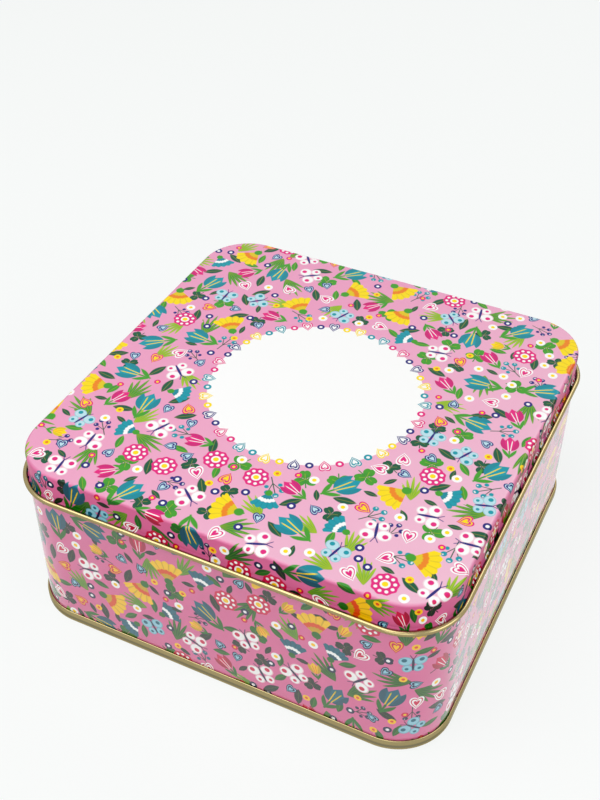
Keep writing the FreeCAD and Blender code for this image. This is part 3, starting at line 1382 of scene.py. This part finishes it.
@dataclass
class Lid(Sheet):
    """Lid: flat panel, rounded edge, flared skirt and a bead rolled outwards at its foot.

    Attributes:
        edge_radius: Outside, between panel and skirt, in millimetres.
        bead_wrap: Degrees that the bead is rolled through.
        round_radius: Bare round in the middle of the print.
        round_room: Room left free round it.
        garland: Number of hearts and rounds along its edge.
        heart_radius: Size of those hearts.
        dot_radius: Size of those rounds.
        skirt_shade_power: Power that darkens the inks on the skirt, as painted shade.
        panel_coat: Weight of the varnish on the panel.
        skirt_coat: Weight of the varnish on the skirt.
    """

    GARLAND_INKS = (Ink.MAGENTA, Ink.TEAL, Ink.YELLOW, Ink.NAVY)
    GREEN_SEED, MOTIF_SEED = 12, 11

    edge_radius: float = 1.3
    bead_wrap: float = 300.0
    round_radius: float = 48.0
    round_room: float = 6.0
    garland: int = 48
    heart_radius: float = 3.6
    dot_radius: float = 1.9
    skirt_shade_power: float = 2.0
    panel_coat: float = 0.33
    skirt_coat: float = 0.08

    def by_round(self, points: np.ndarray) -> np.ndarray:
        """Tell which points lie on the bare round or beside it."""
        return np.hypot(points[:, 0], points[:, 1]) < self.round_radius + self.round_room

    def layout(self, reach: float) -> PrintLayout:
        """Lay out the print of the lid.

        Args:
            reach: Half width of the flat cut.

        Returns:
            The layout.
        """
        low, high = np.full(2, -reach), np.full(2, reach)
        layout = PrintLayout(Strewing(low, high, self.GREEN_SEED), Strewing(low, high, self.MOTIF_SEED))
        radius = self.round_radius
        for number in range(self.garland):
            angle = 2 * math.pi * number / self.garland
            kind, size = (Motif.ROUND, self.dot_radius) if number % 2 else (Motif.HEART, self.heart_radius)
            ink = self.GARLAND_INKS[number // 2 % len(self.GARLAND_INKS)]
            figure = Figure(kind, size, 0, ink, Ink.WHITE)
            layout.motifs.put(figure, radius * math.cos(angle), radius * math.sin(angle), angle)
        layout.strew(self.by_round)
        return layout

    def unrolled(self, mesh: bpy.types.Mesh) -> np.ndarray:
        """Places of the vertices on the flat cut, before the lid was drawn.

        Args:
            mesh: Mesh of the lid.

        Returns:
            Two coordinates for each vertex, in millimetres.
        """
        points = mesh_points(mesh)[:, :2] / MM
        axes = np.clip(points, -self.sizes.corners, self.sizes.corners)
        outward = points - axes
        length = np.maximum(np.linalg.norm(outward, axis=1), 1e-9)
        return axes + outward * (point_values(mesh, "run") / length)[:, None]

    def make(self, printed: bpy.types.Material, bare: bpy.types.Material) -> bpy.types.Object:
        """Build and dress the lid.

        Args:
            printed: Material of its outside.
            bare: Material of its bead and inside.

        Returns:
            The piece.
        """
        sizes = self.sizes
        low, high = node_box("lid")
        top, foot = high[2], low[2]
        edge = self.edge_radius - sizes.sheet / 2
        bead = (sizes.bead_diameter - sizes.sheet) / 2
        flare, rise = step_bends(sizes.skirt_flare, sizes.flare_radius)
        skirt = top - self.edge_radius - (foot + sizes.bead_diameter / 2) - rise
        line = SheetLine(sizes.sheet, 0.0, top - sizes.sheet / 2, 0.0)
        line.straight(sizes.skirt_middle - edge, True)
        panel_run = line.run
        line.bend(edge, -90, True)
        skirt_run = line.run
        line.straight(skirt, True)
        line.bend(sizes.flare_radius, flare, True).bend(sizes.flare_radius, -flare, True)
        reach = float(sizes.corners.max() + line.run)
        line.bend(bead, self.bead_wrap)
        piece = self.build("lid_sheet", line, printed, bare, (top, top - sizes.sheet), 1.0)
        mesh = piece.data
        vertices, faces = mesh_corners(mesh)
        corners = self.unrolled(mesh)[vertices]
        layout = self.layout(reach)
        layout.write(mesh, corners, faces)
        drawn = np.clip((point_values(mesh, "run") - panel_run) / (skirt_run - panel_run), 0, 1)[vertices]
        # Painted shade: the inks darken across the edge and down the skirt, a side that faces away from the
        # light.
        shade_power = 1 + (self.skirt_shade_power - 1) * drawn
        coat = self.panel_coat + (self.skirt_coat - self.panel_coat) * drawn
        layout.vectors(mesh, "sheet_shade_and_coat", np.column_stack([shade_power, coat, drawn]))
        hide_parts("lid")
        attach(piece, "lid")
        return piece


@dataclass
class BodyWall(Sheet):
    """Wall: hook in the double seam, printed side, shoulder, neck and a rim rolled inwards.

    Attributes:
        shoulder_bend: Inside radius of the bends between wall and neck, in millimetres.
        rim_diameter: Rim rolled inwards.
        rim_wrap: Degrees that the rim is rolled through.
        bead_gap: Between the shoulder and the lid's bead.
        lock_width: Across the hooks of the lock seam.
        lock_margin: Plain lap below the shoulder and above the double seam.
        window: Stretch of the back that the hooked edges take up.
        wall_shade_power: Power that darkens the inks on the wall, as painted shade.
        bleed: How far the print runs past the ends of the strip.
    """

    GREEN_SEED, MOTIF_SEED = 22, 21

    shoulder_bend: float = 1.05
    rim_diameter: float = 2.4
    rim_wrap: float = 300.0
    bead_gap: float = 0.4
    lock_width: float = 6.0
    lock_margin: float = 1.5
    window: tuple[float, float] = (-4.5, 6.0)
    wall_shade_power: float = 1.82
    bleed: float = 3.0

    def shoulder_start(self) -> float:
        """Height where the wall starts to bend in.

        Returns:
            The height in millimetres.
        """
        sizes = self.sizes
        middle = self.shoulder_bend + sizes.sheet / 2
        bead = sizes.bead_diameter / 2
        bead_height = node_box("lid")[0][2] + bead
        bead_out = sizes.skirt_middle + sizes.skirt_flare - sizes.sheet / 2 + bead
        reach = bead + middle + sizes.sheet / 2 + self.bead_gap
        return bead_height - math.sqrt(reach ** 2 - (bead_out - sizes.wall_middle + middle) ** 2)

    def line(self) -> SheetLine:
        """Draw the sheet from its hook up to its rim.

        Returns:
            The line.
        """
        sizes = self.sizes
        _, high = node_box("body_wall")
        foot = sizes.layer + sizes.fold_outside
        shoulder = self.shoulder_start()
        middle = self.shoulder_bend + sizes.sheet / 2
        lean, run = step_bends(sizes.neck_step, middle)
        line = SheetLine(sizes.sheet, sizes.wall_middle + 2 * sizes.layer, sizes.hook_top, 270.0, -1)
        line.straight(sizes.hook_top - foot).bend(sizes.layer, -180)
        low_end, high_end = self.lock_ends()
        for length in (low_end - foot, high_end - low_end, shoulder - high_end):
            line.straight(length, True)
        line.bend(middle, lean, True).bend(middle, -lean)
        line.straight(high[2] - self.rim_diameter / 2 - shoulder - run)
        return line.bend((self.rim_diameter - sizes.sheet) / 2, self.rim_wrap)

    def lock_ends(self) -> tuple[float, float]:
        """Heights between which the edges of the strip are hooked together."""
        return self.sizes.seam_height + self.lock_margin, self.shoulder_start() - self.lock_margin

    def hooks(self) -> list[SheetLine]:
        """Draw the two hooked edges in plan, along the back and outward from it.

        Returns:
            The edge that lies outside and the one that lies inside.
        """
        sizes = self.sizes
        half = self.lock_width / 2
        fold_end = half - sizes.fold_outside
        free_end = half - sizes.sheet - sizes.hook_end_gap
        radius = 2 * sizes.layer
        lean, run = step_bends(3 * sizes.layer, radius)
        left, right = self.window
        outer = SheetLine(sizes.sheet, left, -sizes.sheet / 2, 0.0)
        outer.straight(fold_end - left, True).bend(sizes.layer, -180).straight(fold_end + free_end)
        inner = SheetLine(sizes.sheet, right, -sizes.sheet / 2, 180.0, -1)
        inner.straight(right - half - sizes.fold_gap - run, True)
        inner.bend(radius, lean, True).bend(radius, -lean, True)
        inner.straight(half + sizes.fold_gap + fold_end).bend(sizes.layer, -180).straight(free_end + fold_end)
        return [outer, inner]

    def lock(self, mesh: bpy.types.Mesh) -> None:
        """Open the back of the wall and close it again with the two hooked edges.

        Args:
            mesh: Mesh of the wall.
        """
        low, high = self.lock_ends()
        left, right = self.window
        outside = float(self.sizes.corners[1] + self.sizes.corner_radius)
        work = bmesh.new()
        work.from_mesh(mesh)
        printed = work.verts.layers.float["printed"]
        opened = []
        for face in work.faces:
            x, y, z = face.calc_center_median() / MM
            if left < x < right and y > outside - 1 and low < z < high:
                opened.append(face)
        levels = {}
        for inked in (True, False):
            verts = {vert for face in opened for vert in face.verts if (vert[printed] > 0.5) == inked}
            levels[inked] = sorted({round(vert.co.z / MM, 4) for vert in verts})
        edges = {edge for face in opened for edge in face.edges}
        bmesh.ops.delete(work, geom=opened, context="FACES")
        bare = self.slot_of(mesh, False)
        self.cap(work, [edge for edge in edges if edge.is_valid and edge.is_boundary], bare)
        for line in self.hooks():
            points = line.outline()
            columns = []
            for point in points:
                place = (point.out * MM, (outside + point.up) * MM)
                column = [work.verts.new((*place, level * MM)) for level in levels[point.printed]]
                for vert in column:
                    vert[printed] = float(point.printed)
                columns.append(column)
            for first, second, point, after in zip(columns, columns[1:], points, points[1:]):
                loops = [(*first, *second[::-1])]
                if len(first) == len(second):
                    steps = [slice(step, step + 2) for step in range(len(first) - 1)]
                    loops = [(*first[step], *second[step][::-1]) for step in steps]
                for loop in loops:
                    face = work.faces.new(loop)
                    face.smooth = True
                    face.material_index = self.slot_of(mesh, point.printed and after.printed)
            for loop in ([column[0] for column in columns], [column[-1] for column in columns][::-1]):
                work.faces.new(loop).material_index = bare
        bmesh.ops.remove_doubles(work, verts=work.verts, dist=WELD)
        work.to_mesh(mesh)
        work.free()

    @staticmethod
    def cap(work: bmesh.types.BMesh, edges: list[bmesh.types.BMEdge], slot: int) -> None:
        """Close the level cuts between the two skins of the wall.

        Args:
            work: Mesh of the wall with its window open.
            edges: Edges all round the window, on both skins.
            slot: Material slot of the cut metal.
        """
        level = [edge for edge in edges if abs(edge.verts[0].co.z - edge.verts[1].co.z) < WELD]
        spans = {}
        for edge in level:
            middle = (edge.verts[0].co + edge.verts[1].co) / 2
            spans.setdefault((round(middle.x / MM, 2), round(middle.z / MM, 2)), []).append(edge)
        for first, second in spans.values():
            near, far = (sorted(edge.verts, key=lambda vert: vert.co.x) for edge in (first, second))
            face = work.faces.new((*near, *far[::-1]))
            face.material_index = slot
        bmesh.ops.recalc_face_normals(work, faces=work.faces)

    @staticmethod
    def slot_of(mesh: bpy.types.Mesh, printed: bool) -> int:
        """Material slot of the printed or of the bare side."""
        names = [material.name for material in mesh.materials]
        return next(index for index, name in enumerate(names) if name.startswith("printed") == printed)

    def around(self, points: np.ndarray) -> tuple[np.ndarray, float]:
        """Length along the wall from the middle of its back.

        Args:
            points: Places in plan, in millimetres.

        Returns:
            The length for each point, and the length all round.
        """
        high = self.sizes.corners
        radius = self.sizes.corner_radius
        axes = np.clip(points, -high, high)
        out_x, out_y = (points - axes).T
        turn = np.arctan2(-out_x, out_y) % (2 * math.pi)
        turn = np.where((turn == 0) & (points[:, 0] > 0), 2 * math.pi, turn)
        side = np.floor(turn / (math.pi / 2) + 1e-6).astype(int)
        (x, y), (cx, cy) = axes.T, high
        along = np.stack([-x, cy - y, cx + x, cy + y, cx - x])[side, np.arange(len(points))]
        before = np.cumsum([0, cx, 2 * cy, 2 * cx, 2 * cy])[side]
        return before + along + radius * turn, 4 * (cx + cy) + 2 * math.pi * radius

    def layout(self, total: float, height: float) -> PrintLayout:
        """Lay out the print of the wall.

        Args:
            total: Length of the strip.
            height: Height of the strip.

        Returns:
            The layout.
        """
        low, high = np.full(2, -self.bleed), np.array([total, height]) + self.bleed
        layout = PrintLayout(Strewing(low, high, self.GREEN_SEED), Strewing(low, high, self.MOTIF_SEED))
        layout.strew()
        return layout

    def make(self, printed: bpy.types.Material, bare: bpy.types.Material) -> bpy.types.Object:
        """Build and dress the wall.

        Args:
            printed: Material of its outside.
            bare: Material of its hook, neck, rim and inside.

        Returns:
            The piece.
        """
        piece = self.build("wall_sheet", self.line(), printed, bare)
        mesh = piece.data
        self.lock(mesh)
        vertices, faces = mesh_corners(mesh)
        points = mesh_points(mesh) / MM
        length, total = self.around(points[:, :2])
        first = np.searchsorted(faces, np.arange(len(mesh.polygons)))
        start = length[vertices[first]][faces]
        apart = (length[vertices] - start + total / 2) % total - total / 2
        corners = np.column_stack([start + apart, points[vertices, 2]])
        layout = self.layout(total, self.shoulder_start() + self.lock_margin)
        layout.write(mesh, corners, faces)
        # Painted shade: the inks darken all over the wall, whose sides face away from the light.
        layout.vectors(mesh, "sheet_shade_and_coat", np.tile([self.wall_shade_power, 1.0, 1.0], (len(corners), 1)))
        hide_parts("body_wall")
        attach(piece, "box")
        return piece


@dataclass
class BottomPlate(Sheet):
    """Bottom: its hook in the double seam, the foot, an upright and the flat panel.

    Attributes:
        hem: Middle radius of the fold at the top of the seam, in millimetres.
        lean: Degrees that the upper half of the seam leans in.
        crease: Radius between its two halves.
        foot_bend: Inside radius of the two bends at the foot.
        panel_bend: Inside radius between the panel and its upright.
    """

    hem: float = 0.19
    lean: float = 17.0
    crease: float = 0.6
    foot_bend: float = 0.2
    panel_bend: float = 0.85

    def make(self, bare: bpy.types.Material) -> bpy.types.Object:
        """Build and dress the bottom.

        Args:
            bare: Material all over.

        Returns:
            The piece.
        """
        sizes = self.sizes
        _, high = node_box("bottom_plate")
        panel_top = high[2]
        hook_end = sizes.fold_outside + sizes.sheet / 2 + sizes.hook_end_gap
        fold_height = sizes.seam_height - self.hem - sizes.sheet / 2
        lean = math.radians(self.lean)
        foot = self.foot_bend + sizes.sheet / 2
        bend = self.panel_bend + sizes.sheet / 2
        panel_edge = sizes.wall_middle - sizes.layer - bend
        line = SheetLine(sizes.sheet, sizes.wall_middle + sizes.layer, hook_end, 90.0)
        line.straight(fold_height - hook_end).bend(self.hem, self.lean - 180)
        spread = sizes.wall_middle + 3 * sizes.layer - line.out - self.crease * (1 - math.cos(lean))
        line.straight(spread / math.sin(lean)).bend(self.crease, -self.lean)
        line.straight(line.up - foot - sizes.sheet / 2).bend(foot, -90)
        line.straight(4 * sizes.layer - 2 * foot).bend(foot, -90)
        line.straight(panel_top - sizes.sheet - bend - foot).bend(bend, 90).straight(panel_edge)
        line.sides = {1: line.sides[-1][::-1], -1: line.sides[1][::-1]}
        piece = self.build("bottom_sheet", line, bare, bare, (panel_top, panel_top - sizes.sheet))
        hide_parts("bottom_plate")
        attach(piece, "box")
        return piece


@dataclass(frozen=True)
class Softbox:
    """A soft lamp that faces the box.

    Attributes:
        name: Name of the lamp.
        place: Its middle, in metres.
        size: Its width and height.
        radiance: How bright it looks, where 1 is white.
    """

    name: str
    place: tuple[float, float, float]
    size: tuple[float, float]
    radiance: float

    def hang(self, target: Vector) -> None:
        """Hang the lamp.

        Args:
            target: Point that it faces.
        """
        data = bpy.data.lights.new(self.name, "AREA")
        data.shape = "RECTANGLE"
        data.size, data.size_y = self.size
        data.energy = self.radiance * math.pi * data.size * data.size_y
        lamp = bpy.data.objects.new(self.name, data)
        lamp.location = self.place
        lamp.rotation_euler = (target - Vector(self.place)).to_track_quat("-Z", "Y").to_euler()
        lamp.visible_camera = False
        bpy.context.scene.collection.objects.link(lamp)


@dataclass
class Studio:
    """Camera, floor and soft light.

    Attributes:
        focal: Focal length in pixels of an image 800 pixels high.
        yaw: Turn of the view about the vertical, in degrees.
        pitch: Fall of the view.
        roll: Turn of the view about its own line.
        distance: From the camera to the plane of the point it frames.
        look_height: Height of that point.
        aside: How far the frame is moved along its own right and up.
        floor_half: Half the side of the floor.
        lit: Point that the lamps face.
        surround: Colour of the surround.
        fill: Its strength as light.
        backdrop: Its strength where it is seen.
    """

    LAMPS = (
        Softbox("top_softbox", (-0.4, -0.45, 1.25), (1.1, 1.3), 3.1),
        Softbox("back_softbox", (0.3, 1.1, 1.1), (0.6, 0.7), 2.8),
        Softbox("front_softbox", (0.5, -1.5, 0.9), (1.2, 1.0), 1.65),
        Softbox("side_softbox", (1.6, -0.2, 0.9), (1.2, 1.0), 2.7),
    )
    IMAGE_HEIGHT = 800.0
    SENSOR = 36.0

    focal: float = 1178.0
    yaw: float = 26.044
    pitch: float = 39.853
    roll: float = 0.146
    distance: float = 0.54878
    look_height: float = 0.0438
    aside: tuple[float, float] = (0.00678, -0.03012)
    floor_half: float = 4.0
    lit: tuple[float, float, float] = (0.0, 0.0, 0.05)
    surround: Colour = (0.985, 1.0, 0.993, 1.0)
    fill: float = 0.14
    backdrop: float = 0.95

    def camera(self) -> None:
        """Place the camera at the photograph's viewing angle."""
        yaw, pitch = math.radians(self.yaw), math.radians(self.pitch)
        level = Vector((math.cos(yaw), math.sin(yaw), 0.0))
        ahead = Vector((-math.sin(yaw), math.cos(yaw), 0.0))
        forward = ahead * math.cos(pitch) - Vector((0.0, 0.0, math.sin(pitch)))
        right = Matrix.Rotation(math.radians(-self.roll), 3, forward) @ level
        up = right.cross(forward)
        place = Vector((0, 0, self.look_height)) - self.distance * forward
        place -= self.aside[0] * right + self.aside[1] * up
        data = bpy.data.cameras.new("camera")
        data.sensor_width = self.SENSOR
        data.lens = self.focal * self.SENSOR / self.IMAGE_HEIGHT
        data.clip_start = 0.01
        camera = bpy.data.objects.new("camera", data)
        turn = Matrix((right, up, -forward)).transposed().to_4x4()
        camera.matrix_world = Matrix.Translation(place) @ turn
        bpy.context.scene.collection.objects.link(camera)
        bpy.context.scene.camera = camera

    def floor(self, paper: bpy.types.Material) -> None:
        """Lay the floor.

        Args:
            paper: Material of the floor.
        """
        mesh = bpy.data.meshes.new("floor")
        half = self.floor_half
        corners = [(-half, -half, 0), (half, -half, 0), (half, half, 0), (-half, half, 0)]
        mesh.from_pydata(corners, [], [(0, 1, 2, 3)])
        mesh.materials.append(paper)
        floor = bpy.data.objects.new("floor", mesh)
        bpy.context.scene.collection.objects.link(floor)

    def world(self) -> None:
        """Surround the scene with even light, and show white behind it."""
        world = bpy.data.worlds.new("surround")
        world.use_nodes = True
        world.node_tree.nodes.clear()
        graph = Graph(world.node_tree)
        sockets = {0: seen_rays(graph), 2: self.fill, 3: self.backdrop}
        level = graph.node("ShaderNodeMix", {"data_type": "FLOAT"}, sockets)
        sockets = {"Color": self.surround, "Strength": level.outputs[0]}
        sky = graph.node("ShaderNodeBackground", {}, sockets)
        graph.node("ShaderNodeOutputWorld", {}, {"Surface": sky.outputs[0]})
        bpy.context.scene.world = world

    def build(self) -> None:
        """Set up the whole studio."""
        bpy.context.scene.view_settings.view_transform = "Standard"
        self.camera()
        self.world()
        self.floor(PaperFloor("paper_floor").material())
        for lamp in self.LAMPS:
            lamp.hang(Vector(self.lit))


def main() -> None:
    """Build the box piece by piece and set it in the studio."""
    logging.basicConfig(level=logging.INFO, format="%(message)s")
    sizes = TinSizes()
    sweep = SheetSweep()
    varnish = PrintedVarnish("printed_varnish").material()
    gold = GoldLacquer("gold_lacquer").material()
    pieces = [
        Lid(sizes, sweep).make(varnish, gold),
        BodyWall(sizes, sweep).make(varnish, gold),
        BottomPlate(sizes, sweep).make(gold),
    ]
    for piece in pieces:
        sides = [round(side, 4) for side in piece.dimensions]
        log.info("%s: %d faces, %s", piece.name, len(piece.data.polygons), sides)
    Studio().build()


if __name__ == "__main__":
    main()
